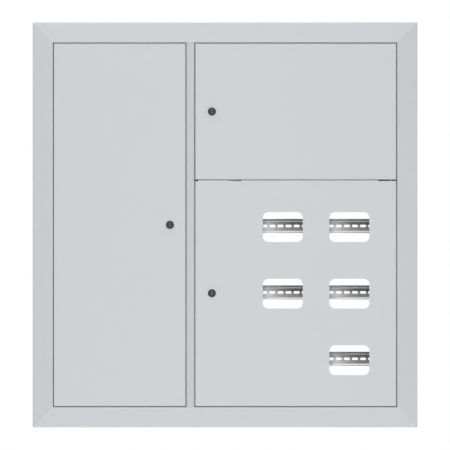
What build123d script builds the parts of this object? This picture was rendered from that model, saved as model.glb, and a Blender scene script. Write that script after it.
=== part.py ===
from build123d import *
import os

os.makedirs("parts", exist_ok=True)

# Overall sizes, all in millimetres
board_width = 950.0
board_height = 1000.0
board_depth = 140.0

# Sheet steel
sheet = 1.2
bend = 1.0
rail_sheet = 1.0
rail_bend = 0.5

# Front frame
frame_face = 50.0
frame_drop = 10.0
frame_side = 16.0
frame_hem = 12.0
frame_edge_radius = 3.0
stop_width = 16.0
stop_depth = 25.0

# Openings in the front frame
left_opening = 329.5
post_face = 20.0
post_recess = 3.0
meter_opening = 561.0

# Doors
door_gap = 2.0
split_gap = 1.3
door_recess = 1.0
door_return = 18.0
edge_notch_depth = 2.0
corner_notch_length = 6.5
lift_notch_start = 83.3
lift_notch_length = 29.9
hinge_notch_start = 45.3
hinge_notch_bridge = 2.5
stop_notch_length = 13.0

# Hinges
hinge_inset = 9.5
hinge_axis_depth = 5.8
hinge_pin_radius = 2.5
hinge_pin_clearance = 0.05
hinge_eye_radius = 4.1
hinge_leaf_thickness = 2.0
hinge_leaf_width = 26.0
hinge_leaf_height = 32.0
hinge_ear = 3.0
hinge_play = 1.0
hinge_plate_height = 20.0
hinge_neck_start = 0.3
hinge_plate_overhang = 9.0
hinge_notch_margin = 2.0
hinge_from_end = 75.0

# Locks
left_lock_inset = 38.5
right_lock_inset = 41.0
lock_head_radius = 10.0
lock_head_proud = 2.5
lock_head_chamfer = 0.8
lock_body_radius = 8.5
lock_body_flats = 16.0
lock_hole_clearance = 0.15
lock_nut_size = 22.0
lock_nut_thickness = 4.0
lock_play = 0.2
plug_radius = 7.0
plug_clearance = 0.05
plug_square = 7.0
plug_tail = 1.5
keyway_height = 11.0
keyway_end = 5.0
keyway_waist = 3.0
keyway_depth = 2.0
cam_length = 35.0
cam_width = 14.0
cam_hub_radius = 8.5
cam_thickness = 2.5
cam_clearance = 0.6

# Meter windows
window_width = 98.8
window_height = 73.5
window_radius = 14.0
window_pitch = 164.3
window_margin_right = 118.0
window_margin_top = 116.5
window_rows = 3
pane_thickness = 2.0
pane_margin_side = 8.0
pane_margin_top = 6.0
pane_play = 0.5
strip_sheet = 1.0
strip_flange = 10.0
strip_lip = 4.0
strip_play = 0.2

# Rails, 35 mm wide top hat section
rail_width = 35.0
rail_depth = 7.5
rail_channel = 25.0
rail_slot_length = 15.0
rail_slot_width = 6.2
rail_slot_crown = 2.6
rail_pitch = 20.0
meter_rail_cells = 6
meter_rail_shift = 4.4
meter_rail_rise = 2.8

# Housing
wall_overlap = 35.0
rear_flange = 40.0
corner_radius = 3.0
fixing_hole_radius = 4.5
cable_opening_depth = 52.0
cable_opening_front = 34.0
left_cable_opening = 200.0
right_cable_opening = 320.0
partition_flange = 12.0
partition_front = 6.0

# Shelf between the two right-hand compartments
shelf_front = 21.0
shelf_lip = 15.0
shelf_end_flange = 15.0
shelf_left_clearance = 8.0
shelf_right_clearance = 47.3
shelf_rise = 0.8
shelf_passage = 75.0
shelf_passage_depth = 50.0
shelf_passage_middle = 97.0

# Posts and strips inside
post_depth = 92.0
post_leg = 15.0
post_width = 20.0
post_margin_left = 1.5
post_margin_right = 7.0
breaker_margin = 30.0
breaker_post_width = 25.0
breaker_cover_depth = 42.0
breaker_cover_return = 12.0
breaker_cover_margin_low = 49.0
breaker_cover_margin_top = 30.0
breaker_slot_margin = 31.0
breaker_slot_height = 46.0
pillar_size = 8.0
pillar_inset = 15.0
bar_height = 12.0
bar_thickness = 5.0
bar_overhang = 1.5
neutral_bar_drop = 130.0
earth_bar_drop = 190.0
insulator_size = 20.0
insulator_depth = 18.0
mounting_strip_height = 30.0
mounting_strip_depth = 100.0
mounting_strip_leg = 12.0
mounting_strip_place = 220.0
strip_slot_length = 25.0
strip_slot_width = 7.0
strip_slot_count = 8
strip_slot_pitch = 40.0

# Places that follow from the sizes above
half_width = board_width / 2
half_height = board_height / 2
open_x = half_width - frame_face
open_z = half_height - frame_face
post_left = left_opening - open_x
post_right = post_left + post_face
split_z = meter_opening - open_z
stop_back = stop_depth + sheet
housing_x = half_width - wall_overlap
housing_z = half_height - wall_overlap
inner_x = housing_x - sheet
inner_z = housing_z - sheet
stop_x = open_x - stop_width
stop_z = open_z - stop_width
housing_back = board_depth - sheet
partition_x = post_right - sheet
outer_bend = bend + sheet
door_back = door_recess + sheet
cam_front = stop_back + cam_clearance
shelf_top = split_z + sheet / 2 + shelf_rise
shelf_under = shelf_top - sheet
shelf_left = post_right + shelf_left_clearance
shelf_right = open_x - shelf_right_clearance
hinge_y = door_recess + hinge_axis_depth
knuckle_radius = hinge_axis_depth - sheet
window_right_column = open_x - window_margin_right
window_left_column = window_right_column - window_pitch
window_top_row = split_z - window_margin_top
breaker_left = post_right + breaker_margin
breaker_right = open_x - breaker_margin
breaker_rail_length = breaker_right - breaker_left
breaker_cover_bottom = split_z + breaker_cover_margin_low
breaker_cover_top = open_z - breaker_cover_margin_top
breaker_rail_height = (breaker_cover_bottom + breaker_cover_top) / 2


def facing(depth):
    """Plane parallel to the doors, facing the viewer, at a depth behind the front of the board."""
    return Plane.XZ.offset(board_depth - depth)


def at(depth):
    """Y coordinate of a depth behind the front of the board."""
    return depth - board_depth


def folded(points, radii, thickness=sheet, side=Side.RIGHT):
    """Section of a folded sheet whose seen side runs through the points."""
    with BuildSketch() as section:
        with BuildLine():
            FilletPolyline(*points, radius=radii)
            offset(amount=thickness, side=side)
        make_face()
    return section.sketch


def creased(points, thickness, side):
    """Section of a thin strip with sharp folds, its seen side through the points."""
    with BuildSketch() as section:
        with BuildLine():
            Polyline(*points)
            offset(amount=thickness, side=side, kind=Kind.INTERSECTION)
        make_face()
    return section.sketch


def block(left, right, front, back, bottom, top, mode=Mode.ADD):
    """Block between two corners in the part being built, its depths counted from the front."""
    middle = ((left + right) / 2, at((front + back) / 2), (bottom + top) / 2)
    with Locations(middle):
        Box(right - left, back - front, top - bottom, mode=mode)


def keep(part, name):
    """Label a finished piece and write it to its own file."""
    part.label = name
    export_step(part, f"parts/{name}.step")


# Front frame, swept round the opening with mitred corners
frame_points = [
    (-stop_width, stop_depth),
    (0, stop_depth),
    (0, 0),
    (frame_face, frame_drop),
    (frame_face, frame_side),
    (frame_face - frame_hem, frame_side),
]
frame_radii = [bend, outer_bend, frame_edge_radius, outer_bend]

with BuildPart() as front_frame:
    with BuildLine(facing(0)) as frame_path:
        Polyline(
            (0, -open_z),
            (open_x, -open_z),
            (open_x, open_z),
            (-open_x, open_z),
            (-open_x, -open_z),
            (0, -open_z),
        )
    with BuildSketch(Plane((0, at(0), -open_z), x_dir=(0, 0, -1), z_dir=(1, 0, 0))):
        add(folded(frame_points, frame_radii))
    sweep(path=frame_path.wires()[0], transition=Transition.RIGHT)
keep(front_frame.part, "front_frame")

# Housing, open to the front and to the rear, with a flange round both openings
cable_openings = [
    (-housing_x + rear_flange, left_cable_opening),
    (post_right + rear_flange, right_cable_opening),
]
fixing_x = housing_x - rear_flange / 2
fixing_z = housing_z - rear_flange / 2

with BuildPart() as housing_body:
    with BuildSketch(facing(stop_back)):
        Rectangle(2 * housing_x, 2 * housing_z)
    extrude(amount=stop_back - board_depth)
    fillet(housing_body.edges().filter_by(Axis.Y), radius=corner_radius)
    offset(amount=-sheet, mode=Mode.SUBTRACT)
    with BuildSketch(facing(stop_back)):
        Rectangle(2 * stop_x, 2 * stop_z)
    extrude(amount=-sheet, mode=Mode.SUBTRACT)
    with BuildSketch(facing(housing_back)):
        Rectangle(2 * (housing_x - rear_flange), 2 * (housing_z - rear_flange))
    extrude(amount=-sheet, mode=Mode.SUBTRACT)
    for start, length in cable_openings:
        with BuildSketch(Plane.XY.offset(-housing_z)):
            with Locations((start + length / 2, at(cable_opening_front + cable_opening_depth / 2))):
                Rectangle(length, cable_opening_depth)
        extrude(amount=2 * housing_z, mode=Mode.SUBTRACT)
    with BuildSketch(facing(housing_back)):
        with GridLocations(2 * fixing_x, 2 * fixing_z, 2, 2):
            Circle(fixing_hole_radius)
    extrude(amount=-sheet, mode=Mode.SUBTRACT)
keep(housing_body.part, "housing_body")

# Centre post, a hat section whose flanges stop the doors on both sides
post_points = [
    (post_left - stop_width, at(stop_depth)),
    (post_left, at(stop_depth)),
    (post_left, at(post_recess)),
    (post_right, at(post_recess)),
    (post_right, at(stop_depth)),
    (post_right + stop_width, at(stop_depth)),
]

post_notch = stop_depth - bend
flange_ends = (post_left - stop_width, post_right + stop_width)

with BuildPart() as centre_post:
    with BuildSketch(Plane.XY.offset(-open_z)):
        add(folded(post_points, [bend, outer_bend, outer_bend, bend], side=Side.LEFT))
    extrude(amount=2 * open_z)
    for bottom, top in ((-open_z, -stop_z), (stop_z, open_z)):
        block(*flange_ends, post_notch, stop_back, bottom, top, Mode.SUBTRACT)
keep(centre_post.part, "centre_post")

# Partition between the two sides, lapped inside the centre post
partition_points = [
    (partition_x - partition_flange, -inner_z),
    (partition_x, -inner_z),
    (partition_x, inner_z),
    (partition_x - partition_flange, inner_z),
]

with BuildPart() as partition_wall:
    with BuildSketch(facing(housing_back)):
        add(folded(partition_points, [outer_bend, outer_bend], side=Side.LEFT))
    extrude(amount=housing_back - stop_back - sheet)
    tongue = stop_z - bend
    block(partition_x - sheet, partition_x, partition_front, stop_back + sheet, -tongue, tongue)
keep(partition_wall.part, "partition_wall")

# Shelf between the right-hand compartments, folded down along its front
shelf_points = [
    (at(shelf_front), shelf_top - shelf_lip),
    (at(shelf_front), shelf_top),
    (at(housing_back), shelf_top),
]
shelf_side_front = stop_back + 2 * sheet
shelf_cut_front = shelf_front + outer_bend + bend
shelf_passages = [(column, at(shelf_passage_middle)) for column in (window_left_column, window_right_column)]

with BuildPart() as compartment_shelf:
    with BuildSketch(Plane.YZ.offset(shelf_left)):
        add(folded(shelf_points, [outer_bend]))
    extrude(amount=shelf_right - shelf_left)
    block(partition_x, shelf_left, shelf_side_front, housing_back, shelf_under, shelf_top)
    block(shelf_right, inner_x, shelf_side_front, housing_back, shelf_under, shelf_top)
    block(
        shelf_right,
        inner_x,
        shelf_side_front,
        shelf_side_front + sheet,
        shelf_top - shelf_end_flange,
        shelf_under,
    )
    for start in (partition_x, inner_x - sheet):
        block(start, start + sheet, shelf_side_front, housing_back, shelf_top - shelf_end_flange, shelf_under)
    block(
        shelf_left,
        post_right + stop_width + bend,
        shelf_cut_front,
        shelf_side_front,
        shelf_under,
        shelf_top,
        Mode.SUBTRACT,
    )
    with BuildSketch(Plane.XY.offset(shelf_under)):
        with Locations(*shelf_passages):
            Rectangle(shelf_passage, shelf_passage_depth)
    extrude(amount=sheet, mode=Mode.SUBTRACT)
keep(compartment_shelf.part, "compartment_shelf")


# Doors
def door_pan(left, right, bottom, top, front, depth):
    """Folded pan, open to the rear, with its face at a depth behind the front of the board."""
    with BuildPart() as pan:
        with BuildSketch(facing(front + depth)):
            with Locations(((left + right) / 2, (bottom + top) / 2)):
                Rectangle(right - left, top - bottom)
        extrude(amount=depth)
        fillet(pan.faces().sort_by(Axis.Y)[0].edges(), radius=outer_bend)
        offset(amount=-sheet, openings=pan.faces().sort_by(Axis.Y)[-1])
    return pan.part


def lock_profile(clearance):
    """Round lock body with two flats, grown by a clearance."""
    with BuildSketch() as profile:
        Circle(lock_body_radius + clearance)
        Rectangle(4 * lock_body_radius, lock_body_flats + 2 * clearance, mode=Mode.INTERSECT)
    return profile.sketch


def make_door(name, left, right, bottom, top, hinge_x, hinges, lock_x, lock_z, windows=(), notches=()):
    """Door with its hinge notches, lock hole, windows and notches in its upper edge."""
    inside = 1 if hinge_x < (left + right) / 2 else -1
    edge = hinge_x - inside * hinge_inset
    notch = hinge_leaf_height / 2 + hinge_play + hinge_ear + hinge_notch_margin
    with BuildPart() as door:
        add(door_pan(left, right, bottom, top, door_recess, door_return))
        for height in hinges:
            block(
                min(edge, edge + inside * outer_bend),
                max(edge, edge + inside * outer_bend),
                door_recess + outer_bend,
                door_recess + door_return,
                height - notch,
                height + notch,
                Mode.SUBTRACT,
            )
        for start, end in notches:
            block(
                start,
                end,
                door_recess,
                door_recess + door_return,
                top - edge_notch_depth,
                top,
                Mode.SUBTRACT,
            )
        with BuildSketch(facing(door_recess)):
            with Locations((lock_x, lock_z)):
                add(lock_profile(lock_hole_clearance))
            if windows:
                with Locations(*windows):
                    RectangleRounded(window_width, window_height, window_radius)
        extrude(amount=-sheet, mode=Mode.SUBTRACT)
    keep(door.part, name)


window_places = [
    (column, window_top_row - row * window_pitch)
    for row in range(window_rows)
    for column in (window_left_column, window_right_column)
    if row < window_rows - 1 or column == window_right_column
]
left_hinge_x = -open_x + door_gap + hinge_inset
right_hinge_x = open_x - door_gap - hinge_inset
left_edges = (-open_x + door_gap, post_left - door_gap, -open_z + door_gap, open_z - door_gap)
upper_edges = (post_right + door_gap, open_x - door_gap, split_z + split_gap / 2, open_z - door_gap)
meter_edges = (post_right + door_gap, open_x - door_gap, -open_z + door_gap, split_z - split_gap / 2)
left_hinges = [left_edges[2] + hinge_from_end, left_edges[3] - hinge_from_end]
upper_hinges = [upper_edges[2] + hinge_from_end, upper_edges[3] - hinge_from_end]
meter_hinges = [meter_edges[2] + hinge_from_end, meter_edges[3] - hinge_from_end]
left_lock = (left_edges[1] - left_lock_inset, (left_edges[2] + left_edges[3]) / 2)
upper_lock = (upper_edges[0] + right_lock_inset, (upper_edges[2] + upper_edges[3]) / 2)
meter_lock = (meter_edges[0] + right_lock_inset, (meter_edges[2] + meter_edges[3]) / 2)

make_door("left_door", *left_edges, left_hinge_x, left_hinges, *left_lock)
make_door("distribution_door", *upper_edges, right_hinge_x, upper_hinges, *upper_lock)
lift_notch = meter_edges[0] + lift_notch_start
stop_notch = meter_edges[1] - stop_notch_length
meter_notches = [
    (meter_edges[0], meter_edges[0] + corner_notch_length),
    (lift_notch, lift_notch + lift_notch_length),
    (meter_edges[1] - hinge_notch_start, stop_notch - hinge_notch_bridge),
    (stop_notch, meter_edges[1]),
]
make_door(
    "meter_door",
    *meter_edges,
    right_hinge_x,
    meter_hinges,
    *meter_lock,
    window_places,
    meter_notches,
)


# Hinges
def make_leaves(name, hinge_x, heights):
    """Rolled leaves welded to the inside of a door."""
    inside = 1 if hinge_x < 0 else -1
    leaf_depth = door_back + hinge_leaf_thickness / 2
    with BuildPart() as leaves:
        for height in heights:
            with BuildSketch(Plane.XY.offset(height - hinge_leaf_height / 2)):
                with Locations((hinge_x, at(hinge_y))):
                    Circle(knuckle_radius)
                with Locations((hinge_x + inside * hinge_leaf_width / 2, at(leaf_depth))):
                    Rectangle(hinge_leaf_width, hinge_leaf_thickness)
                with Locations((hinge_x, at(hinge_y))):
                    Circle(hinge_pin_radius + hinge_pin_clearance, mode=Mode.SUBTRACT)
            extrude(amount=hinge_leaf_height)
    keep(leaves.part, name)


def ear_height(height):
    """Lower face of the ear under a leaf."""
    return height - hinge_leaf_height / 2 - hinge_play - hinge_ear


def make_brackets(name, hinge_x, heights):
    """L-shaped brackets on the door stop, each with an ear that carries the pin."""
    inside = 1 if hinge_x < 0 else -1
    plate_ends = (hinge_x - inside * hinge_plate_overhang, hinge_x + inside * hinge_eye_radius)
    neck_ends = (hinge_x + inside * hinge_neck_start, hinge_x + inside * hinge_eye_radius)
    neck_middle = (sum(neck_ends) / 2, at((hinge_y + stop_depth) / 2))
    with BuildPart() as brackets:
        for height in heights:
            with BuildSketch(Plane.XY.offset(ear_height(height))):
                with Locations((hinge_x, at(hinge_y))):
                    Circle(hinge_eye_radius)
                with Locations(neck_middle):
                    Rectangle(abs(neck_ends[1] - neck_ends[0]), stop_depth - hinge_y)
            extrude(amount=hinge_ear)
            block(
                min(plate_ends),
                max(plate_ends),
                stop_depth - hinge_ear,
                stop_depth,
                ear_height(height),
                ear_height(height) + hinge_plate_height,
            )
    keep(brackets.part, name)


def make_pins(name, hinge_x, heights):
    """Pins that stand on the ears and fill the leaves."""
    with BuildPart() as pins:
        for height in heights:
            with BuildSketch(Plane.XY.offset(ear_height(height) + hinge_ear)):
                with Locations((hinge_x, at(hinge_y))):
                    Circle(hinge_pin_radius)
            extrude(amount=hinge_leaf_height + hinge_play)
    keep(pins.part, name)


for door_name, hinge_x, heights in (
    ("left", left_hinge_x, left_hinges),
    ("distribution", right_hinge_x, upper_hinges),
    ("meter", right_hinge_x, meter_hinges),
):
    make_leaves(f"{door_name}_hinge_leaves", hinge_x, heights)
    make_brackets(f"{door_name}_hinge_brackets", hinge_x, heights)
    make_pins(f"{door_name}_hinge_pins", hinge_x, heights)


# Locks, quarter turn, shown with the cam hanging down and the door free to open
def keyway():
    """Opening for a two-bit key, wide at both ends and narrow at its waist."""
    with BuildSketch() as opening:
        with BuildLine():
            Polyline(
                (-keyway_end / 2, keyway_height / 2),
                (keyway_end / 2, keyway_height / 2),
                (keyway_waist / 2, 0),
                (keyway_end / 2, -keyway_height / 2),
                (-keyway_end / 2, -keyway_height / 2),
                (-keyway_waist / 2, 0),
                close=True,
            )
        make_face()
    return opening.sketch


def make_lock(name, lock_x, lock_z):
    """Barrel, nut, plug and cam of one lock."""
    head_front = door_recess - lock_head_proud
    barrel_back = cam_front - lock_play
    centre = Location((lock_x, lock_z))

    with BuildPart() as barrel:
        with BuildSketch(facing(door_recess)):
            with Locations(centre):
                Circle(lock_head_radius)
        extrude(amount=lock_head_proud)
        chamfer(barrel.faces().sort_by(Axis.Y)[0].edges(), length=lock_head_chamfer)
        with BuildSketch(facing(door_recess)):
            with Locations(centre):
                add(lock_profile(0))
        extrude(amount=door_recess - barrel_back)
        with BuildSketch(facing(head_front)):
            with Locations(centre):
                Circle(plug_radius + plug_clearance)
        extrude(amount=head_front - barrel_back, mode=Mode.SUBTRACT)
    keep(barrel.part, f"{name}_lock_barrel")

    with BuildPart() as nut:
        with BuildSketch(facing(door_back)):
            with Locations(centre):
                RegularPolygon(lock_nut_size / 2, 6, major_radius=False)
                Circle(lock_body_radius, mode=Mode.SUBTRACT)
        extrude(amount=-lock_nut_thickness)
    keep(nut.part, f"{name}_lock_nut")

    with BuildPart() as plug:
        with BuildSketch(facing(head_front)):
            with Locations(centre):
                Circle(plug_radius)
        extrude(amount=head_front - cam_front)
        with BuildSketch(facing(cam_front)):
            with Locations(centre):
                Rectangle(plug_square, plug_square)
        extrude(amount=-(cam_thickness + plug_tail))
        with BuildSketch(facing(head_front)):
            with Locations(centre):
                add(keyway())
        extrude(amount=-keyway_depth, mode=Mode.SUBTRACT)
    keep(plug.part, f"{name}_lock_plug")

    with BuildPart() as cam:
        with BuildSketch(facing(cam_front)):
            with Locations((lock_x, lock_z - cam_length / 2)):
                Rectangle(cam_width, cam_length)
            with Locations(centre):
                Circle(cam_hub_radius)
                Rectangle(plug_square, plug_square, mode=Mode.SUBTRACT)
        extrude(amount=-cam_thickness)
    keep(cam.part, f"{name}_lock_cam")


make_lock("left", *left_lock)
make_lock("distribution", *upper_lock)
make_lock("meter", *meter_lock)

# Panes of the meter windows, each behind its own opening
pane_half_width = window_width / 2 + pane_margin_side
pane_half_height = window_height / 2 + pane_margin_top

for number, (column, height) in enumerate(window_places, start=1):
    with BuildPart() as meter_pane:
        block(
            column - pane_half_width,
            column + pane_half_width,
            door_back,
            door_back + pane_thickness,
            height - pane_half_height,
            height + pane_half_height,
        )
    keep(meter_pane.part, f"meter_pane_{number}")


# Glazing strips, folded so that a lip holds the panes against the door
def make_strip(name, left, right, edge, up):
    """Strip along the upper or lower edge of a row of panes; up is 1 above the panes and -1 below."""
    weld_back = at(door_back + strip_sheet)
    lip_back = at(door_back + pane_thickness + strip_play + strip_sheet)
    step = edge + up * (pane_play + strip_sheet)
    points = [
        (weld_back, step + up * strip_flange),
        (weld_back, step),
        (lip_back, step),
        (lip_back, edge - up * strip_lip),
    ]
    side = Side.RIGHT if up > 0 else Side.LEFT
    with BuildPart() as strip:
        with BuildSketch(Plane.YZ.offset(left)):
            add(creased(points, strip_sheet, side))
        extrude(amount=right - left)
    keep(strip.part, name)


for row in range(window_rows):
    row_z = window_top_row - row * window_pitch
    first_column = min(column for column, height in window_places if height == row_z)
    ends = (first_column - pane_half_width, window_right_column + pane_half_width)
    make_strip(f"glazing_strip_{row + 1}_upper", *ends, row_z + pane_half_height, 1)
    make_strip(f"glazing_strip_{row + 1}_lower", *ends, row_z - pane_half_height, -1)


# Rails
def rail_section(height):
    """Top hat section of a 35 mm rail, centred at a height, with its web against the posts."""
    lip_front = at(post_depth - rail_depth)
    web_front = at(post_depth - rail_sheet)
    points = [
        (lip_front, height + rail_width / 2),
        (lip_front, height + rail_channel / 2),
        (web_front, height + rail_channel / 2),
        (web_front, height - rail_channel / 2),
        (lip_front, height - rail_channel / 2),
        (lip_front, height - rail_width / 2),
    ]
    fold = rail_bend + rail_sheet
    return folded(points, [fold, rail_bend, rail_bend, fold], thickness=rail_sheet, side=Side.LEFT)


def rail_slot():
    """Slot of a rail, with shallow round ends."""
    straight = rail_slot_length / 2 - rail_slot_crown
    with BuildSketch() as slot:
        with BuildLine():
            Line((-straight, rail_slot_width / 2), (straight, rail_slot_width / 2))
            ThreePointArc(
                (straight, rail_slot_width / 2),
                (rail_slot_length / 2, 0),
                (straight, -rail_slot_width / 2),
            )
            Line((straight, -rail_slot_width / 2), (-straight, -rail_slot_width / 2))
            ThreePointArc(
                (-straight, -rail_slot_width / 2),
                (-rail_slot_length / 2, 0),
                (-straight, rail_slot_width / 2),
            )
        make_face()
    return slot.sketch


meter_rail_length = meter_rail_cells * rail_pitch

for number, (column, height) in enumerate(window_places, start=1):
    rail_centre = column + meter_rail_shift
    rail_z = height + meter_rail_rise
    with BuildPart() as meter_rail:
        with BuildSketch(Plane.YZ.offset(rail_centre - meter_rail_length / 2)):
            add(rail_section(rail_z))
        extrude(amount=meter_rail_length)
        with BuildSketch(facing(post_depth - rail_sheet)):
            with Locations((rail_centre, rail_z)):
                with GridLocations(rail_pitch, 0, meter_rail_cells, 1):
                    add(rail_slot())
        extrude(amount=-rail_sheet, mode=Mode.SUBTRACT)
    keep(meter_rail.part, f"meter_rail_{number}")

with BuildPart() as breaker_rail:
    with BuildSketch(Plane.YZ.offset(breaker_left)):
        add(rail_section(breaker_rail_height))
    extrude(amount=breaker_rail_length)
keep(breaker_rail.part, "breaker_rail")


# Posts, channels that stand between the housing walls and the shelf
def make_post(name, left, right, bottom, top):
    """Channel with its web towards the viewer and its legs to the rear."""
    leg_back = at(post_depth + post_leg)
    web_front = at(post_depth)
    points = [(left, leg_back), (left, web_front), (right, web_front), (right, leg_back)]
    with BuildPart() as post:
        with BuildSketch(Plane.XY.offset(bottom)):
            add(folded(points, [outer_bend, outer_bend], side=Side.LEFT))
        extrude(amount=top - bottom)
    keep(post.part, name)


left_post_right = window_left_column - window_width / 2 - post_margin_left
left_post_left = left_post_right - post_width
middle_post_left = window_left_column + window_width / 2 + post_margin_right
middle_post_right = window_right_column - window_width / 2 - post_margin_left
right_post_left = window_right_column + window_width / 2 + post_margin_right

make_post("meter_post_left", left_post_left, left_post_right, -inner_z, shelf_under)
make_post("meter_post_middle", middle_post_left, middle_post_right, -inner_z, shelf_under)
make_post("meter_post_right", right_post_left, right_post_left + post_width, -inner_z, shelf_under)
make_post(
    "breaker_post_left",
    breaker_left,
    breaker_left + breaker_post_width,
    shelf_top,
    inner_z,
)
make_post(
    "breaker_post_right",
    breaker_right - breaker_post_width,
    breaker_right,
    shelf_top,
    inner_z,
)

# Cover over the breakers, on four pillars
cover_edges = (breaker_left, breaker_right, breaker_cover_bottom, breaker_cover_top)
cover_middle = ((cover_edges[0] + cover_edges[1]) / 2, breaker_rail_height)

with BuildPart() as breaker_cover:
    add(door_pan(*cover_edges, breaker_cover_depth, breaker_cover_return))
    with BuildSketch(facing(breaker_cover_depth)):
        with Locations(cover_middle):
            Rectangle(breaker_rail_length - 2 * breaker_slot_margin, breaker_slot_height)
    extrude(amount=-sheet, mode=Mode.SUBTRACT)
keep(breaker_cover.part, "breaker_cover")

pillar_x = breaker_rail_length - breaker_post_width
pillar_z = breaker_cover_top - breaker_cover_bottom - 2 * pillar_inset

with BuildPart() as cover_pillars:
    with BuildSketch(facing(breaker_cover_depth + sheet)):
        with Locations(cover_middle):
            with GridLocations(pillar_x, pillar_z, 2, 2):
                RegularPolygon(pillar_size / 2, 6, major_radius=False)
    extrude(amount=breaker_cover_depth + sheet - post_depth)
keep(cover_pillars.part, "cover_pillars")

# Neutral and earth bars between the left and middle meter posts
bar_left = left_post_left - bar_overhang
bar_right = middle_post_left + post_width + bar_overhang
neutral_bar_z = window_top_row - window_pitch - neutral_bar_drop
earth_bar_z = window_top_row - window_pitch - earth_bar_drop
insulator_places = [
    (left_post_left + post_width / 2, neutral_bar_z),
    (middle_post_left + post_width / 2, neutral_bar_z),
]

with BuildPart() as neutral_insulators:
    with BuildSketch(facing(post_depth)):
        with Locations(*insulator_places):
            Rectangle(insulator_size, insulator_size)
    extrude(amount=insulator_depth, taper=4)
keep(neutral_insulators.part, "neutral_insulators")

neutral_bar_back = post_depth - insulator_depth

for bar_name, back, height in (
    ("neutral_bar", neutral_bar_back, neutral_bar_z),
    ("earth_bar", post_depth, earth_bar_z),
):
    with BuildPart() as bar:
        block(
            bar_left,
            bar_right,
            back - bar_thickness,
            back,
            height - bar_height / 2,
            height + bar_height / 2,
        )
    keep(bar.part, bar_name)

# Mounting strips of the low-current side
strip_slots_middle = (-inner_x + partition_x - sheet) / 2

for strip_name, height in (("upper", mounting_strip_place), ("lower", -mounting_strip_place)):
    strip_front = at(mounting_strip_depth)
    strip_rear = at(mounting_strip_depth + mounting_strip_leg)
    strip_points = [
        (strip_rear, height + mounting_strip_height / 2),
        (strip_front, height + mounting_strip_height / 2),
        (strip_front, height - mounting_strip_height / 2),
        (strip_rear, height - mounting_strip_height / 2),
    ]
    with BuildPart() as mounting_strip:
        with BuildSketch(Plane.YZ.offset(-inner_x)):
            add(folded(strip_points, [outer_bend, outer_bend], side=Side.LEFT))
        extrude(amount=partition_x - sheet + inner_x)
        with BuildSketch(facing(mounting_strip_depth)):
            with Locations((strip_slots_middle, height)):
                with GridLocations(strip_slot_pitch, 0, strip_slot_count, 1):
                    Rectangle(strip_slot_length, strip_slot_width)
        extrude(amount=-sheet, mode=Mode.SUBTRACT)
    keep(mounting_strip.part, f"mounting_strip_{strip_name}")
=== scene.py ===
"""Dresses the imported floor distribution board: powder coat, zinc, brass, clear panes, locks, small fixings
and a plain pale studio. All sizes are metres in the frame of the CAD model: X to the right, Y into the wall
and Z up."""

import math

import bpy
import numpy as np
from bpy.props import FloatProperty, FloatVectorProperty, IntProperty, PointerProperty
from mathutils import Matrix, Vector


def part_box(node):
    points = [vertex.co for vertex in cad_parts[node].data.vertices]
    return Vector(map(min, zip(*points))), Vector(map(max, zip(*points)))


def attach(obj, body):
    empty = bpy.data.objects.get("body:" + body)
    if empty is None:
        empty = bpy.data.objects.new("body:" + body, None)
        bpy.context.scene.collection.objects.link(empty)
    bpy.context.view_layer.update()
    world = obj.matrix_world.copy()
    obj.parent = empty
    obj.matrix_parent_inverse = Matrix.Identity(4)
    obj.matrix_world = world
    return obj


bl_info = {
    "name": "Floor Distribution Board",
    "version": (1, 0, 0),
    "blender": (4, 5, 0),
    "location": "View3D > Sidebar > Board",
    "description": "Finishes, fixings and studio for a flush floor distribution board",
    "category": "Object",
}

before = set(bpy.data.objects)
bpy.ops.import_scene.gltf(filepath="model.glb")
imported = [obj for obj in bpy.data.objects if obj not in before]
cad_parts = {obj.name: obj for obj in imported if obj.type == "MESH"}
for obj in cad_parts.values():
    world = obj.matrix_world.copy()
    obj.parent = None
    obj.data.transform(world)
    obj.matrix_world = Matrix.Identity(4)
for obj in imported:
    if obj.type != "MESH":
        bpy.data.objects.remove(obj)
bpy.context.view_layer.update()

BOARD_FRONT = -0.140
SMOOTH_ANGLE = math.radians(35)
SCREW_ROUGHNESS = 0.42
METER_RAILS = sorted(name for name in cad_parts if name.startswith("meter_rail"))
DOORS = ("left", "distribution", "meter")
BARS = ("neutral_bar", "earth_bar")

# Depths behind the front of the board: the back of the doors' sheet, the face of the stop that the doors
# close on, and the webs of the rails
DOOR_SHEET_BACK = 0.0022
DOOR_STOP_FACE = 0.025
RAIL_WEB_FACE = 0.091

# What fills the notches in the upper edge of the meter door: dark buffers, which are painted shade standing
# in for the shade inside the notches, and a painted lip. Each piece has the X of its two ends, and how far
# its top stands over the floor of the notch at either end. All reach back to one depth behind the face.
NOTCH_DEPTH = 0.0020
EDGE_REACH = 0.0165
LIFT_LIP = ((0.0100, 0.0325), (0.0009, 0.0004))
EDGE_SHADE_BUFFERS = (
    ((-0.0733, -0.0672), (0.0027, 0.0027)),
    ((0.0327, 0.0395), (0.0007, 0.0018)),
    ((0.3779, 0.4073), (0.0025, 0.0019)),
    ((0.4102, 0.4208), (0.0017, 0.0019)),
)

# Painted light and shade of a short rail: tones at levels from its lower edge, 0, to its upper edge, 1, for
# its left end and its right end, with a painted highlight over the lower lip and painted shade on the upper
# lip and the web, and the share of the left end's tones at places from the left end, 0, to the right end, 1,
# which paints shade that deepens towards the right end
RAIL_LEVELS = (0.0, 0.06, 0.08, 0.155, 0.18, 0.40, 0.60, 0.77, 0.80, 0.86, 0.89, 1.0)
RAIL_LEFT_PAINTED_LIGHT = (0.58, 0.58, 0.92, 0.92, 0.52, 0.53, 0.37, 0.37, 0.47, 0.47, 0.25, 0.25)
RAIL_RIGHT_PAINTED_LIGHT = (0.26, 0.26, 0.95, 0.90, 0.13, 0.14, 0.04, 0.0, 0.38, 0.38, 0.07, 0.07)
RAIL_PAINTED_SHADE_FADE = ((0.0, 0.95), (0.16, 1.0), (0.31, 0.58), (0.48, 0.24), (0.62, 0.08), (0.82, 0.0))

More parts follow.
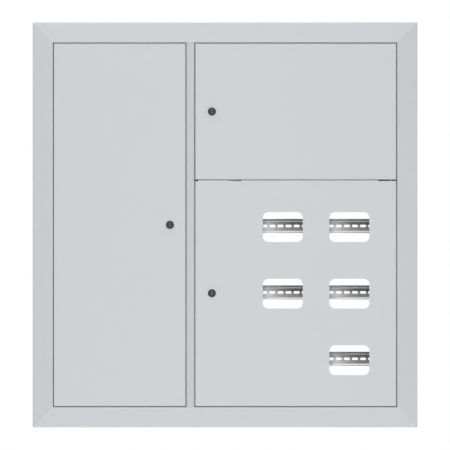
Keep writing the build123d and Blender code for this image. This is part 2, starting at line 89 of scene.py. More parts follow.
# Screws on the stop that the doors close on: how far each row is from the middle of the board, and where its
# screws stand along it. The earth studs have their X and Z.
STOP_SCREW_SIDES = (0.417, (-0.24, -0.08, 0.08, 0.24))
STOP_SCREW_ENDS = (0.442, (-0.33, -0.18, 0.05, 0.2, 0.35))
EARTH_STUDS = {"left": (-0.385, -0.425), "distribution": (0.385, 0.135), "meter": (0.385, -0.425)}


# Sizes and colours that a user would change
class BoardColours(bpy.types.PropertyGroup):
    """Colours and coats of the board."""

    paint: FloatVectorProperty(
        name="Powder coat",
        description="Colour of the painted sheet",
        subtype="COLOR",
        size=3,
        min=0,
        max=1,
        default=(0.632, 0.640, 0.668),
    )
    # Painted shade: the centre post's coat is darker than the doors' to stand in for the shade in its recess
    # between the doors
    post_shade_tone: FloatProperty(
        name="Post tone",
        description="Tone of the centre post's coat as a share of the doors' tone",
        subtype="FACTOR",
        min=0,
        max=1,
        default=0.906,
    )
    zinc: FloatVectorProperty(
        name="Zinc",
        description="Colour of the zinc plated parts",
        subtype="COLOR",
        size=3,
        min=0,
        max=1,
        default=(0.34, 0.345, 0.35),
    )
    brass: FloatVectorProperty(
        name="Brass",
        description="Colour of the terminal bars",
        subtype="COLOR",
        size=3,
        min=0,
        max=1,
        default=(0.40, 0.28, 0.10),
    )
    lock: FloatVectorProperty(
        name="Lock",
        description="Colour of the lock heads",
        subtype="COLOR",
        size=3,
        min=0,
        max=1,
        default=(0.004, 0.004, 0.0045),
    )
    # Painted shade: the dark colour of the buffers stands in for the shade inside the notches of the meter
    # door
    shade_rubber: FloatVectorProperty(
        name="Rubber",
        description="Colour of the buffers in the edge of the meter door",
        subtype="COLOR",
        size=3,
        min=0,
        max=1,
        default=(0.012, 0.012, 0.013),
    )
    insulator: FloatVectorProperty(
        name="Insulator",
        description="Colour of the insulators under the neutral bar",
        subtype="COLOR",
        size=3,
        min=0,
        max=1,
        default=(0.02, 0.10, 0.42),
    )
    pane_opacity: FloatProperty(
        name="Pane opacity",
        description="How much of what is behind a pane it hides",
        subtype="FACTOR",
        min=0,
        max=1,
        default=0.03,
    )


class BoardFixings(bpy.types.PropertyGroup):
    """Sizes of the screws, studs and nuts."""

    screw_radius: FloatProperty(
        name="Screw head radius",
        description="Radius of a pan head",
        subtype="DISTANCE",
        unit="LENGTH",
        min=0.001,
        default=0.004,
    )
    screw_height: FloatProperty(
        name="Screw head height",
        description="Height of a pan head",
        subtype="DISTANCE",
        unit="LENGTH",
        min=0.0005,
        default=0.0022,
    )
    terminal_screws: IntProperty(
        name="Terminal screws",
        description="Clamp screws on each terminal bar",
        min=2,
        max=40,
        default=13,
    )
    stud_length: FloatProperty(
        name="Stud length",
        description="How far an earth stud stands off the sheet",
        subtype="DISTANCE",
        unit="LENGTH",
        min=0.005,
        default=0.012,
    )


class BoardStudio(bpy.types.PropertyGroup):
    """Camera, lamps and floor."""

    lens: FloatProperty(
        name="Lens",
        description="Focal length of the camera in millimetres",
        min=50,
        max=4000,
        default=1500,
    )
    view_width: FloatProperty(
        name="View width",
        description="Width of what the camera sees at the front of the board",
        subtype="DISTANCE",
        unit="LENGTH",
        min=1,
        default=1.1111,
    )
    floor_drop: FloatProperty(
        name="Floor",
        description="How far the floor lies below the middle of the board, which hangs on a wall",
        subtype="DISTANCE",
        unit="LENGTH",
        min=0.6,
        default=1.5,
    )
    sky: FloatProperty(
        name="Sky",
        description="Strength of the even light from all sides",
        min=0,
        max=2,
        default=0.57,
    )
    rear_dimming: FloatProperty(
        name="Rear dimming",
        description="How much weaker the even light is from behind the board",
        subtype="FACTOR",
        min=0,
        max=1,
        default=0.6,
    )
    upper_lamp: FloatProperty(
        name="Upper lamp",
        description="Power of the lamp that grazes the board from above, in watts",
        min=0,
        default=17,
    )
    lower_lamp: FloatProperty(
        name="Lower lamp",
        description="Power of the lamp that grazes the board from below, in watts",
        min=0,
        default=3.6,
    )
    band: FloatProperty(
        name="Front band",
        description="Power of the tall lamp in front, in watts",
        min=0,
        default=45,
    )


# Shader arithmetic
class Term:
    """A number that changes over a surface. Arithmetic on it adds Math nodes."""

    def __init__(self, recipe, socket):
        self.recipe = recipe
        self.socket = socket

    def __add__(self, other):
        return self.recipe.maths("ADD", self, other)

    def __radd__(self, other):
        return self.recipe.maths("ADD", other, self)

    def __sub__(self, other):
        return self.recipe.maths("SUBTRACT", self, other)

    def __rsub__(self, other):
        return self.recipe.maths("SUBTRACT", other, self)

    def __mul__(self, other):
        return self.recipe.maths("MULTIPLY", self, other)

    def __rmul__(self, other):
        return self.recipe.maths("MULTIPLY", other, self)

    def __truediv__(self, other):
        return self.recipe.maths("DIVIDE", self, other)

    def __gt__(self, other):
        return self.recipe.maths("GREATER_THAN", self, other)


class Recipe:
    """The nodes of one material or of the world, from its pattern to its shader."""

    def __init__(self, owner, shader="Principled BSDF"):
        owner.use_nodes = True
        self.owner = owner
        self.tree = owner.node_tree
        self.shader = self.tree.nodes[shader]

    def node(self, kind, settings=None, sockets=None, output=0):
        """Adds a node, applies its settings, fills its sockets with values or links and gives one
        output."""
        made = self.tree.nodes.new(kind)
        for key, value in (settings or {}).items():
            if key == "stops":
                ramp = made.color_ramp.elements
                for place, tone in value[1:-1]:
                    ramp.new(place).color = (tone, tone, tone, 1)
                for index, (place, tone) in ((0, value[0]), (-1, value[-1])):
                    ramp[index].position = place
                    ramp[index].color = (tone, tone, tone, 1)
            else:
                setattr(made, key, value)
        for key, value in (sockets or {}).items():
            self.fill(made.inputs[key], value)
        return Term(self, made.outputs[output])

    def fill(self, socket, value):
        """Links a term to a socket, or writes a plain value into it."""
        if isinstance(value, Term):
            self.tree.links.new(value.socket, socket)
        else:
            socket.default_value = value

    def maths(self, operation, *values):
        """Math node on terms and numbers, in their order."""
        return self.node("ShaderNodeMath", {"operation": operation}, dict(enumerate(values)))

    def place(self):
        """Position in the piece's own frame, which is the frame of the CAD model."""
        return self.node("ShaderNodeTexCoord", output="Object")

    def along(self, axis):
        """One coordinate of the position, in metres."""
        return self.node("ShaderNodeSeparateXYZ", sockets={0: self.place()}, output=axis)

    def noise(self, scale, detail=2.0, stretch=(1, 1, 1)):
        """Noise from 0 to 1 with a number of cells in a metre, stretched along the axes."""
        spread = self.node("ShaderNodeMapping", sockets={"Vector": self.place(), "Scale": stretch})
        sockets = {"Vector": spread, "Scale": scale, "Detail": detail}
        return self.node("ShaderNodeTexNoise", sockets=sockets, output="Fac")

    def mix(self, factor, low, high):
        """Colour between two colours. Sockets 6 and 7 and output 2 are the Mix node's colours."""
        sockets = {0: factor, 6: colour_of(low), 7: colour_of(high)}
        return self.node("ShaderNodeMix", {"data_type": "RGBA"}, sockets, 2)

    def grey(self, place, stops):
        """Number that follows a ramp of places and tones."""
        ramp = self.node("ShaderNodeValToRGB", {"stops": stops}, {0: place})
        return self.node("ShaderNodeSeparateColor", sockets={0: ramp}, output=0)

    def bump(self, height, distance, strength):
        """Small relief: a height from 0 to 1 times a distance in metres, at a strength from 0 to 1."""
        sockets = {"Strength": strength, "Distance": distance, "Height": height}
        return self.node("ShaderNodeBump", sockets=sockets)

    def sees_white(self):
        """One where a camera, glossy or transmission ray looks, and zero for the rays that carry light."""
        camera, glossy, transmission = (
            self.node("ShaderNodeLightPath", output=f"Is {kind} Ray")
            for kind in ("Camera", "Glossy", "Transmission")
        )
        return self.maths("MAXIMUM", self.maths("MAXIMUM", camera, glossy), transmission)

    def finish(self, **sockets):
        """Fills the shader's sockets, named with underscores, and gives the material or world."""
        for name, value in sockets.items():
            self.fill(self.shader.inputs[name.replace("_", " ")], value)
        return self.owner


def new_finish(name):
    """Recipe of a new material."""
    return Recipe(bpy.data.materials.new(name))


def colour_of(value):
    """Four numbers for a colour socket, or the term itself."""
    return value if isinstance(value, Term) else (*tuple(value)[:3], 1.0)


def toned(colour, factor):
    """A colour with its three numbers multiplied."""
    return tuple(min(1.0, part * factor) for part in tuple(colour)[:3])


def powder_coat(name, colour, tone=1.0):
    """Powder coat: a faint drift of the tone over the sheet, and the orange-peel grain of the coat."""
    coat = new_finish(name)
    drift = coat.noise(5.0, detail=3.0)
    speck = coat.noise(900.0, detail=1.0)
    mottle = drift * 0.75 + speck * 0.25
    peel = coat.noise(620.0, detail=2.0) * 0.8 + coat.noise(60.0, detail=1.0) * 0.2
    return coat.finish(
        Base_Color=coat.mix(mottle, toned(colour, tone * 0.985), toned(colour, tone * 1.015)),
        Roughness=0.44 + mottle * 0.08,
        Normal=coat.bump(peel, distance=0.00006, strength=0.5),
    )


def zinc_plate(name, colour, roughness=0.5):
    """Bright zinc: soft spangles a few millimetres wide, fine drawing lines and duller patches."""
    plate = new_finish(name)
    cells = {"Vector": plate.place(), "Scale": 190.0}
    spangle = plate.node("ShaderNodeTexVoronoi", sockets=cells, output="Color")
    flake = plate.node("ShaderNodeSeparateColor", sockets={0: spangle}, output=0)
    lines = plate.noise(260.0, detail=2.0, stretch=(0.08, 1, 6))
    dull = plate.noise(30.0, detail=4.0)
    tone = flake * 0.35 + lines * 0.3 + dull * 0.35
    return plate.finish(
        Base_Color=plate.mix(tone, toned(colour, 0.72), toned(colour, 1.22)),
        Metallic=1.0,
        Roughness=(roughness - 0.07) + tone * 0.16,
        Normal=plate.bump(lines, distance=0.00004, strength=0.4),
    )


def rail_zinc_painted_light(name, rail, pitch):
    """Zinc of the short rails with painted light and shade: a painted highlight over the lower lip, painted
    shade on the upper lip, and painted shade on the web that deepens from left to right. The rails repeat at
    one pitch both ways, so a place on any of them is its distance from the first rail's corner, modulo the
    pitch, with a margin before it so that no rail is cut in two."""
    low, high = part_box(rail)
    margin = 0.01
    plate = new_finish(name)
    across = plate.maths("FRACT", (plate.along("X") - (low.x - margin)) / pitch) * pitch - margin
    up = plate.maths("FRACT", (plate.along("Z") - (low.z - margin)) / pitch) * pitch - margin
    level = up / (high.z - low.z)
    # Painted light: tones of the left end and the right end, with a painted highlight over the lower lip and
    # painted shade on the upper lip and the web
    left_painted_light, right_painted_light = (
        plate.grey(level, tuple(zip(RAIL_LEVELS, tones))) for tones in (RAIL_LEFT_PAINTED_LIGHT, RAIL_RIGHT_PAINTED_LIGHT)
    )
    # Painted shade: the share of the left end's tones falls from left to right, so the rail darkens towards
    # its right end
    shade_fade = plate.grey(across / (high.x - low.x), RAIL_PAINTED_SHADE_FADE)
    lines = plate.noise(300.0, detail=2.0, stretch=(0.06, 1, 6))
    tone = (right_painted_light + (left_painted_light - right_painted_light) * shade_fade) * (0.96 + lines * 0.08)
    return plate.finish(
        Base_Color=plate.mix(tone, (0.0, 0.0, 0.0), (1.0, 1.0, 1.0)),
        Metallic=0.9,
        Roughness=0.48 + lines * 0.1,
        Normal=plate.bump(lines, distance=0.00001, strength=0.3),
    )


def bar_brass(name, colour):
    """Drawn brass: lines along the bar and slow browner patches."""
    bar = new_finish(name)
    lines = bar.noise(400.0, detail=2.0, stretch=(0.05, 1, 3))
    patch = bar.noise(35.0, detail=3.0)
    tone = lines * 0.4 + patch * 0.6
    return bar.finish(
        Base_Color=bar.mix(tone, toned(colour, 0.72), toned(colour, 1.15)),
        Metallic=1.0,
        Roughness=0.42 + tone * 0.18,
        Normal=bar.bump(lines, distance=0.00003, strength=0.4),
    )


def moulded(name, colour, roughness):
    """Moulded plastic or dark lacquer: an even colour with a fine satin grain."""
    plastic = new_finish(name)
    grain = plastic.noise(1500.0, detail=2.0)
    haze = plastic.noise(45.0, detail=3.0)
    return plastic.finish(
        Base_Color=plastic.mix(haze, toned(colour, 0.85), toned(colour, 1.2)),
        Roughness=(roughness - 0.05) + haze * 0.1,
        Normal=plastic.bump(grain, distance=0.00003, strength=0.5),
    )


def key_plug(name, colour, floor_depth):
    """Dark die-cast plug whose key opening shows lighter bare metal at its bottom."""
    plug = new_finish(name)
    haze = plug.noise(160.0, detail=3.0)
    is_bare = plug.along("Y") > floor_depth
    dark = plug.mix(haze, toned(colour, 0.85), toned(colour, 1.3))
    bare_metal = (0.11, 0.11, 0.115)
    return plug.finish(
        Base_Color=plug.mix(is_bare, dark, bare_metal),
        Roughness=0.48 + haze * 0.12,
        Normal=plug.bump(plug.noise(1400.0, detail=2.0), distance=0.00003, strength=0.4),
    )


def clear_pane(name, opacity):
    """Clear polycarbonate: almost nothing of its own but gloss and a few faint smears."""
    pane = new_finish(name)
    smear = pane.noise(14.0, detail=3.0)
    return pane.finish(
        Base_Color=pane.mix(smear, (0.93, 0.95, 0.96), (0.97, 0.98, 0.99)),
        Roughness=0.03 + smear * 0.05,
        Alpha=(opacity * 0.6) + smear * (opacity * 0.8),
    )


# Surfaces worked out on grids
def cross_outline(arm, half_width, angles):
    """Distance from the middle to the outline of a cross recess at each angle: the end of an arm where the
    direction is nearly along it, and its flank elsewhere."""
    near = np.abs((angles + np.pi / 4) % (np.pi / 2) - np.pi / 4)
    flank = half_width / np.maximum(np.sin(near), 1e-6)
    return np.minimum(arm / np.cos(near), flank)


def slot_outline(arm, half_width, angles):
    """Distance from the middle to the outline of a straight slot at each angle: its end or its flank."""
    along = arm / np.maximum(np.abs(np.cos(angles)), 1e-6)
    flank = half_width / np.maximum(np.abs(np.sin(angles)), 1e-6)
    return np.minimum(along, flank)


def hexagon_outline(flats, angles):
    """Distance from the middle to the outline of a hexagon at each angle: half its width across flats over
    the cosine of the angle from the nearest flat's middle."""
    near = (angles + np.pi / 6) % (np.pi / 3) - np.pi / 6
    return flats / 2 / np.cos(near)


def corner_angles(arm, half_width):
    """Angles round a head that hit every corner of a cross recess, with others between them: those of one
    quarter, repeated after each quarter turn."""
    tip = math.atan2(half_width, arm)
    diagonal, next_tip = np.pi / 4, np.pi / 2 - tip
    quarter = np.array([-tip, 0.0, tip, (tip + diagonal) / 2, diagonal, (next_tip + diagonal) / 2])
    return (quarter[None, :] + np.arange(4)[:, None] * (np.pi / 2)).ravel()


def stacked_rings(angles, rings):
    """Closed solid round an axis along Y: each ring lies at its own height towards the front and has its own
    radius at each angle, and a point closes the first ring and the last."""
    count = len(angles)
    radii = np.array([np.broadcast_to(radius, count) for radius, height in rings])
    heights = np.array([height for radius, height in rings])
    grid = np.stack(
        [
            radii * np.cos(angles),
            np.broadcast_to(-heights[:, None], radii.shape),
            radii * np.sin(angles),
        ],
        axis=-1,
    ).reshape(-1, 3)
    poles = np.array([[0, -heights[0], 0], [0, -heights[-1], 0]])
    here = np.arange(count)
    there = (here + 1) % count
    rows = np.arange(len(rings) - 1)[:, None] * count
    quads = np.stack([rows + here, rows + there, rows + there + count, rows + here + count], axis=-1)
    last = (len(rings) - 1) * count
    back = np.stack([there, here, np.full(count, len(grid))], axis=-1)
    front = np.stack([last + here, last + there, np.full(count, len(grid) + 1)], axis=-1)
    return np.vstack([grid, poles]), quads.reshape(-1, 4), np.vstack([back, front])


def repeated(shape, places):
    """The same shape at several places, as one set of points and faces."""
    points, quads, corners = shape
    places = np.asarray(places, float).reshape(-1, 3)
    steps = np.arange(len(places))[:, None, None] * len(points)
    return (
        (points[None] + places[:, None]).reshape(-1, 3),
        (quads[None] + steps).reshape(-1, 4),
        (corners[None] + steps).reshape(-1, 3),
    )


def joined(*shapes):
    """Several shapes as one set of points and faces."""
    starts = np.cumsum([0] + [len(points) for points, quads, corners in shapes[:-1]])
    return (
        np.vstack([points for points, quads, corners in shapes]),
        np.vstack([quads + start for (points, quads, corners), start in zip(shapes, starts)]),
        np.vstack([corners + start for (points, quads, corners), start in zip(shapes, starts)]),
    )


def pan_head(radius, height):
    """Pan head screw: a low dome with a cross recess sunk into its top."""
    arm, half_width = radius * 0.58, radius * 0.13
    angles = corner_angles(arm, half_width)
    recess = cross_outline(arm, half_width, angles)
    depth = height * 0.55
    return stacked_rings(
        angles,
        [
            (radius, 0.0),
            (radius, height * 0.45),
            (radius * 0.95, height * 0.72),
            (radius * 0.82, height * 0.93),
            (np.maximum(recess * 1.06, radius * 0.62), height),
            (recess, height * 0.99),
            (recess * 0.9, height - depth),
        ],
    )


def cheese_head(radius, height):
    """Cheese head screw: a short cylinder with a slot sunk into its top."""
    arm, half_width = radius * 0.86, radius * 0.16
    tip = math.atan2(half_width, arm)
    half_turn = np.array([-tip, 0.0, tip, 0.5, 0.85, 1.2, np.pi / 2, 1.95, 2.3, 2.65])
    angles = np.concatenate([half_turn, half_turn + np.pi])
    slot = slot_outline(arm, half_width, angles)
    return stacked_rings(
        angles,
        [
            (radius, 0.0),
            (radius, height * 0.86),
            (radius * 0.93, height),
            (slot, height),
            (slot, height * 0.45),
        ],
    )


def washer(outer, thickness):
    """Disc under a nut, with its edge broken."""
    angles = np.linspace(0, 2 * np.pi, 24, endpoint=False)
    edge = thickness * 0.2
    return stacked_rings(
        angles,
        [(outer - edge, 0.0), (outer, edge), (outer, thickness - edge), (outer - edge, thickness)],
    )


def hexagon_nut(flats, thickness, start):
    """Hexagon nut that starts at a height over the sheet, with its corners turned down at both faces."""
    angles = np.linspace(0, 2 * np.pi, 24, endpoint=False)
    outline = hexagon_outline(flats, angles)
    turned = np.minimum(outline, flats / 2 * 1.02)
    edge = thickness * 0.12
    return stacked_rings(
        angles,
        [
            (turned, start),
            (outline, start + edge),
            (outline, start + thickness - edge),
            (turned, start + thickness),
        ],
    )


def threaded_stud(radius, length, pitch):
    """Threaded stud: its radius falls to the root of the thread and rises again once in each pitch. Its end
    is flat, with a ring at the tip's radius."""
    angles = np.linspace(0, 2 * np.pi, 16, endpoint=False)
    root, tip = radius * 0.84, radius * 0.8
    rings = [(radius, 0.0)]
    for turn in range(int(length / pitch)):
        rings.append((root, (turn + 0.5) * pitch))
        rings.append((radius, (turn + 1.0) * pitch))
    rings.append((tip, length))
    return stacked_rings(angles, rings)


def nut_on_washer(radius, disc, flats, thickness):
    """Hexagon nut, by its width across flats and its thickness, on a washer, by its radius and the thickness
    of its disc."""
    return joined(washer(radius, disc), hexagon_nut(flats, thickness, disc))


def facing_wall(shape):
    """The same shape after half a turn about Z, so that it looks to the wall."""
    points, quads, corners = shape
    return points * np.array([-1, -1, 1]), quads, corners


def pad(ends, front, back, bottom, tops):
    """Strip along X: a rectangle with its four corners cut, carried from one end to the other while its top
    goes from one height to the other."""
    cut = 0.0002

    # The eight points of the outline: depth, whether at the top, and how far the cut moves each along Z
    across = np.array([front + cut, back - cut, back, back, back - cut, front + cut, front, front])
    at_top = np.array([0, 0, 0, 1, 1, 1, 1, 0])
    shift = cut * np.array([0, 0, 1, -1, 0, 0, -1, 1])
    count = len(across)
    levels = bottom + at_top * (np.array(tops)[:, None] - bottom) + shift
    grid = np.stack(
        [np.repeat(np.array(ends)[:, None], count, axis=1), np.broadcast_to(across, levels.shape), levels],
        axis=-1,
    )
    here = np.arange(count)
    there = (here + 1) % count
    quads = np.stack([here, there, there + count, here + count], axis=-1)
    first = np.stack([there, here, np.full(count, 2 * count)], axis=-1)
    last = np.stack([here + count, there + count, np.full(count, 2 * count + 1)], axis=-1)
    return np.vstack([grid.reshape(-1, 3), grid.mean(axis=1)]), quads, np.vstack([first, last])


# Meshes and carried nodes
def new_piece(name, shape, material, body):
    """Puts points and faces into a mesh, smooths it between its sharp edges and makes it ride on a body."""
    points, quads, corners = shape
    mesh = bpy.data.meshes.new(name)
    mesh.from_pydata(points.tolist(), [], quads.tolist() + corners.tolist())
    mesh.validate()
    mesh.shade_smooth()
    mesh.set_sharp_from_angle(angle=SMOOTH_ANGLE)
    piece = bpy.data.objects.new(name, mesh)
    bpy.context.scene.collection.objects.link(piece)
    piece.data.materials.append(material)
    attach(piece, body)
    return piece


def coat_nodes(names, material):
    """Gives carried CAD nodes a material."""
    for name in names:
        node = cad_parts[name]
        node.data.materials.clear()
        node.data.materials.append(material)


def nodes_with(*words):
    """Names of the carried nodes that hold one of the words."""
    return [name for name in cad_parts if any(word in name for word in words)]


def middle(name):
    """Middle of a carried node's box."""
    low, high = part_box(name)
    return (low + high) / 2


# Stage
def soft_lamp(name, place, target, size, power):
    """Area lamp that looks from a place to a target."""
    data = bpy.data.lights.new(name, "AREA")
    data.shape = "RECTANGLE"
    data.size, data.size_y = size
    data.energy = power
    lamp = bpy.data.objects.new(name, data)
    bpy.context.scene.collection.objects.link(lamp)
    lamp.location = place
    look = Vector(target) - Vector(place)
    lamp.rotation_euler = look.to_track_quat("-Z", "Y").to_euler()
    lamp.visible_camera = False
    return lamp


class BOARD_OT_stage(bpy.types.Operator):
    """Makes the floor, the white surroundings, the lamps and the camera"""

    bl_idname = "board.stage"
    bl_label = "Stage"

    def execute(self, context):
        studio = context.scene.board_studio
        scene = context.scene
        scene.view_settings.view_transform = "Standard"

        room = Recipe(bpy.data.worlds.new("pale_room"), "Background")
        direction = room.node("ShaderNodeTexCoord", output="Generated")
        into_wall = room.node("ShaderNodeSeparateXYZ", sockets={0: direction}, output="Y")
        behind = room.maths("MAXIMUM", into_wall, 0.0)
        light = studio.sky * (1 - behind * studio.rear_dimming)
        white = room.sees_white()
        scene.world = room.finish(Color=(1, 1, 1, 1), Strength=white + (1 - white) * light)

        half, level = 5.0, -studio.floor_drop
        mesh = bpy.data.meshes.new("pale_floor")
        corners = [(-half, -half, level), (half, -half, level), (half, half, level), (-half, half, level)]
        mesh.from_pydata(corners, [], [(0, 1, 2, 3)])
        floor = bpy.data.objects.new("pale_floor", mesh)
        scene.collection.objects.link(floor)
        paper = new_finish("pale_floor")
        paper.finish(
            Base_Color=paper.mix(paper.noise(3.0), (0.80, 0.80, 0.80), (0.83, 0.83, 0.83)),
            Roughness=0.9,
            Emission_Color=paper.mix(paper.sees_white(), (0, 0, 0), (0.35, 0.35, 0.35)),
            Emission_Strength=1.0,
        )
        mesh.materials.append(paper.owner)

        middle_of_front = (0, BOARD_FRONT, 0)
        soft_lamp("upper_lamp", (-0.5, -0.45, 2.6), middle_of_front, (1.6, 0.6), studio.upper_lamp)
        soft_lamp("lower_lamp", (0, -0.32, -1.42), middle_of_front, (2.4, 0.3), studio.lower_lamp)
        soft_lamp("front_band", (0, -3.6, -0.2), middle_of_front, (0.8, 3.4), studio.band)

        data = bpy.data.cameras.new("camera")
        data.lens = studio.lens
        distance = studio.view_width * studio.lens / data.sensor_width
        camera = bpy.data.objects.new("camera", data)
        scene.collection.objects.link(camera)
        aim_x, aim_z = -0.0001, -0.0003
        camera.location = (aim_x, BOARD_FRONT - distance, aim_z)
        camera.rotation_euler = (math.pi / 2, 0, 0)
        data.clip_end = 2 * distance
        scene.camera = camera
        return {"FINISHED"}


# Finishes of the carried nodes, and the pieces added to them
class BOARD_OT_painted_sheet(bpy.types.Operator):
    """Powder coats the frame, the doors, the housing and what is welded into it"""

    bl_idname = "board.painted_sheet"
    bl_label = "Painted sheet"

    def execute(self, context):
        colours = context.scene.board_colours
        coat = powder_coat("powder_coat", colours.paint)
        # Painted shade: the centre post's coat is toned down to stand in for the shade in its recess between
        # the doors
        post_shaded_coat = powder_coat("post_shaded_coat", colours.paint, colours.post_shade_tone)
        coat_nodes(nodes_with("_door", "frame", "housing", "partition", "shelf", "_post", "cover"), coat)
        coat_nodes(["centre_post"], post_shaded_coat)
        return {"FINISHED"}


class BOARD_OT_zinc_parts(bpy.types.Operator):
    """Plates the hinges, nuts, cams, strips, pillars and rails"""

    bl_idname = "board.zinc_parts"
    bl_label = "Zinc parts"

    def execute(self, context):
        colours = context.scene.board_colours
        plate = zinc_plate("zinc_plate", colours.zinc)
        coat_nodes(nodes_with("hinge", "nut", "cam", "pillar", "strip", "breaker_rail"), plate)
        first, second = METER_RAILS[:2]
        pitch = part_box(second)[0].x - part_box(first)[0].x
        # The short rails get zinc with painted light and shade
        coat_nodes(METER_RAILS, rail_zinc_painted_light("rail_zinc_painted_light", first, pitch))
        return {"FINISHED"}


class BOARD_OT_panes(bpy.types.Operator):
    """Clears the panes of the meter windows"""

    bl_idname = "board.panes"
    bl_label = "Panes"

    def execute(self, context):
        coat_nodes(nodes_with("pane"), clear_pane("clear_pane", context.scene.board_colours.pane_opacity))
        return {"FINISHED"}


class BOARD_OT_locks(bpy.types.Operator):
    """Colours the lock heads and plugs, and puts a washer and a nut on each cam"""

    bl_idname = "board.locks"
    bl_label = "Locks"

    def execute(self, context):
        colours = context.scene.board_colours
        coat_nodes(nodes_with("barrel"), moulded("lock_head", colours.lock, roughness=0.5))
        key_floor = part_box("left_lock_plug")[0].y + 0.001
        coat_nodes(nodes_with("plug"), key_plug("key_plug", colours.lock, key_floor))
        steel = zinc_plate("cam_screw_zinc", colours.zinc, SCREW_ROUGHNESS)
        head = facing_wall(nut_on_washer(radius=0.0065, disc=0.001, flats=0.008, thickness=0.0035))
        for door in DOORS:
            low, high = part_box(f"{door}_lock_plug")
            place = ((low.x + high.x) / 2, high.y, (low.z + high.z) / 2)
            new_piece(f"{door}_cam_screw", repeated(head, [place]), steel, f"{door}_lock")
        return {"FINISHED"}


class BOARD_OT_edge_buffers(bpy.types.Operator):
    """Puts dark rubber buffers, which paint the shade inside the notches, and a painted lip into the notches
    along the upper edge of the meter door
    """

    bl_idname = "board.edge_buffers"
    bl_label = "Edge buffers"

    def execute(self, context):
        colours = context.scene.board_colours
        # Painted shade: the dark buffers stand in for the shade inside the notches
        shade_rubber = moulded("buffer_rubber", colours.shade_rubber, roughness=0.7)
        low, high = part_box("meter_door")
        floor, face, back = high.z - NOTCH_DEPTH, low.y, low.y + EDGE_REACH
        pads = [pad(ends, face, back, floor, floor + np.array(rises)) for ends, rises in EDGE_SHADE_BUFFERS]

        # The dark buffer at the left end, painted shade like the others, has a thin head that laps over the
        # face of the sheet
        (left, right), rises = EDGE_SHADE_BUFFERS[0]
        lap, lap_down = 0.0006, 0.0004
        pads.append(pad((left, right + lap), face - lap, face, floor - lap_down, floor + np.array(rises)))
        new_piece("edge_buffers", joined(*pads), shade_rubber, "meter_door")

        # The lip stands behind the sheet and reaches below the floor of its notch
        ends, rises = LIFT_LIP
        sheet, reach = 0.0013, 0.0020
        lip = pad(ends, face + sheet, back, floor - reach, floor + np.array(rises))
        new_piece("lift_lip", lip, powder_coat("lip_coat", colours.paint), "meter_door")
        return {"FINISHED"}


class BOARD_OT_terminals(bpy.types.Operator):
    """Finishes the terminal bars and insulators and puts the clamp screws on the bars"""

    bl_idname = "board.terminals"
    bl_label = "Terminal bars"

    def execute(self, context):
        colours = context.scene.board_colours
        fixings = context.scene.board_fixings
        coat_nodes(BARS, bar_brass("bar_brass", colours.brass))
        coat_nodes(nodes_with("insulator"), moulded("insulator", colours.insulator, roughness=0.45))
        steel = zinc_plate("terminal_screw_zinc", colours.zinc, SCREW_ROUGHNESS)
        head = cheese_head(radius=0.0032, height=0.0024)
        margin = 0.010
        for bar in BARS:
            low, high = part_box(bar)
            spots = np.linspace(low.x + margin, high.x - margin, fixings.terminal_screws)
            places = [(spot, low.y, (low.z + high.z) / 2) for spot in spots]
            new_piece(f"{bar}_screws", repeated(head, places), steel, "cabinet")
        return {"FINISHED"}


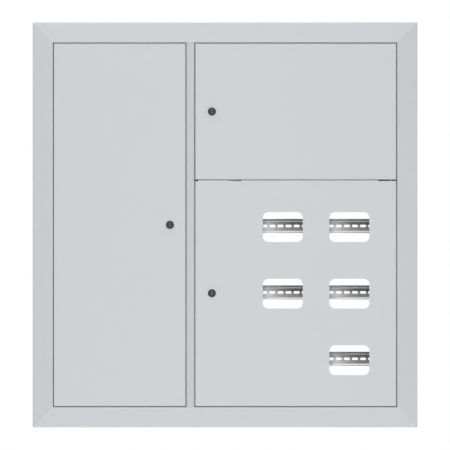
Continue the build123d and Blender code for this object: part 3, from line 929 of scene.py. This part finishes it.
class BOARD_OT_small_fixings(bpy.types.Operator):
    """Adds the screws of the frame, the rails and the cover, and the earth studs of the doors"""

    bl_idname = "board.small_fixings"
    bl_label = "Small fixings"

    def execute(self, context):
        colours = context.scene.board_colours
        fixings = context.scene.board_fixings
        steel = zinc_plate("screw_zinc", colours.zinc, SCREW_ROUGHNESS)
        head = pan_head(fixings.screw_radius, fixings.screw_height)

        stop_y = BOARD_FRONT + DOOR_STOP_FACE
        stop_x, levels = STOP_SCREW_SIDES
        stop_z, spots = STOP_SCREW_ENDS
        places = [(side * stop_x, stop_y, level) for side in (-1, 1) for level in levels]
        places += [(spot, stop_y, side * stop_z) for side in (-1, 1) for spot in spots]
        new_piece("frame_screws", repeated(head, places), steel, "cabinet")

        web_y = BOARD_FRONT + RAIL_WEB_FACE
        left_inset, right_inset = 0.0035, 0.0045
        places = []
        for rail in METER_RAILS:
            low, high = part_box(rail)
            level = (low.z + high.z) / 2
            places += [(low.x + left_inset, web_y, level), (high.x - right_inset, web_y, level)]
        for post in ("breaker_post_left", "breaker_post_right"):
            places.append((middle(post).x, web_y, middle("breaker_rail").z))
        new_piece("rail_screws", repeated(head, places), steel, "cabinet")

        cover_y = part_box("breaker_cover")[0].y
        pillar_low, pillar_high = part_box("cover_pillars")
        pillar_radius = 0.004
        spots = (middle("breaker_post_left").x, middle("breaker_post_right").x)
        levels = (pillar_low.z + pillar_radius, pillar_high.z - pillar_radius)
        places = [(spot, cover_y, level) for spot in spots for level in levels]
        new_piece("cover_screws", repeated(head, places), steel, "cabinet")

        thread = threaded_stud(radius=0.003, length=fixings.stud_length, pitch=0.001)
        nut = nut_on_washer(radius=0.0065, disc=0.0012, flats=0.010, thickness=0.005)
        stud = facing_wall(joined(thread, nut))
        for door, (x, z) in EARTH_STUDS.items():
            placed = repeated(stud, [(x, BOARD_FRONT + DOOR_SHEET_BACK, z)])
            new_piece(f"{door}_earth_stud", placed, steel, f"{door}_door")
        return {"FINISHED"}


OPERATORS = (
    BOARD_OT_stage,
    BOARD_OT_painted_sheet,
    BOARD_OT_zinc_parts,
    BOARD_OT_panes,
    BOARD_OT_locks,
    BOARD_OT_edge_buffers,
    BOARD_OT_terminals,
    BOARD_OT_small_fixings,
)


class BOARD_PT_panel(bpy.types.Panel):
    """Panel that lists the steps of dressing the board."""

    bl_idname = "BOARD_PT_panel"
    bl_label = "Distribution Board"
    bl_space_type = "VIEW_3D"
    bl_region_type = "UI"
    bl_category = "Board"

    def draw(self, context):
        for group in GROUPS:
            settings = getattr(context.scene, group)
            box = self.layout.box()
            for name in type(settings).__annotations__:
                box.prop(settings, name)
        for step in OPERATORS:
            self.layout.operator(step.bl_idname)


GROUPS = {"board_colours": BoardColours, "board_fixings": BoardFixings, "board_studio": BoardStudio}
CLASSES = (*GROUPS.values(), *OPERATORS, BOARD_PT_panel)


def register():
    for item in CLASSES:
        bpy.utils.register_class(item)
    for name, group in GROUPS.items():
        setattr(bpy.types.Scene, name, PointerProperty(type=group))


def unregister():
    for name in GROUPS:
        delattr(bpy.types.Scene, name)
    for item in reversed(CLASSES):
        bpy.utils.unregister_class(item)


def main():
    """Runs every step in order."""
    register()
    for step in OPERATORS:
        group, name = step.bl_idname.split(".")
        if getattr(getattr(bpy.ops, group), name)() != {"FINISHED"}:
            raise RuntimeError(f"step {step.bl_idname} didn't finish")


if __name__ == "__main__":
    main()
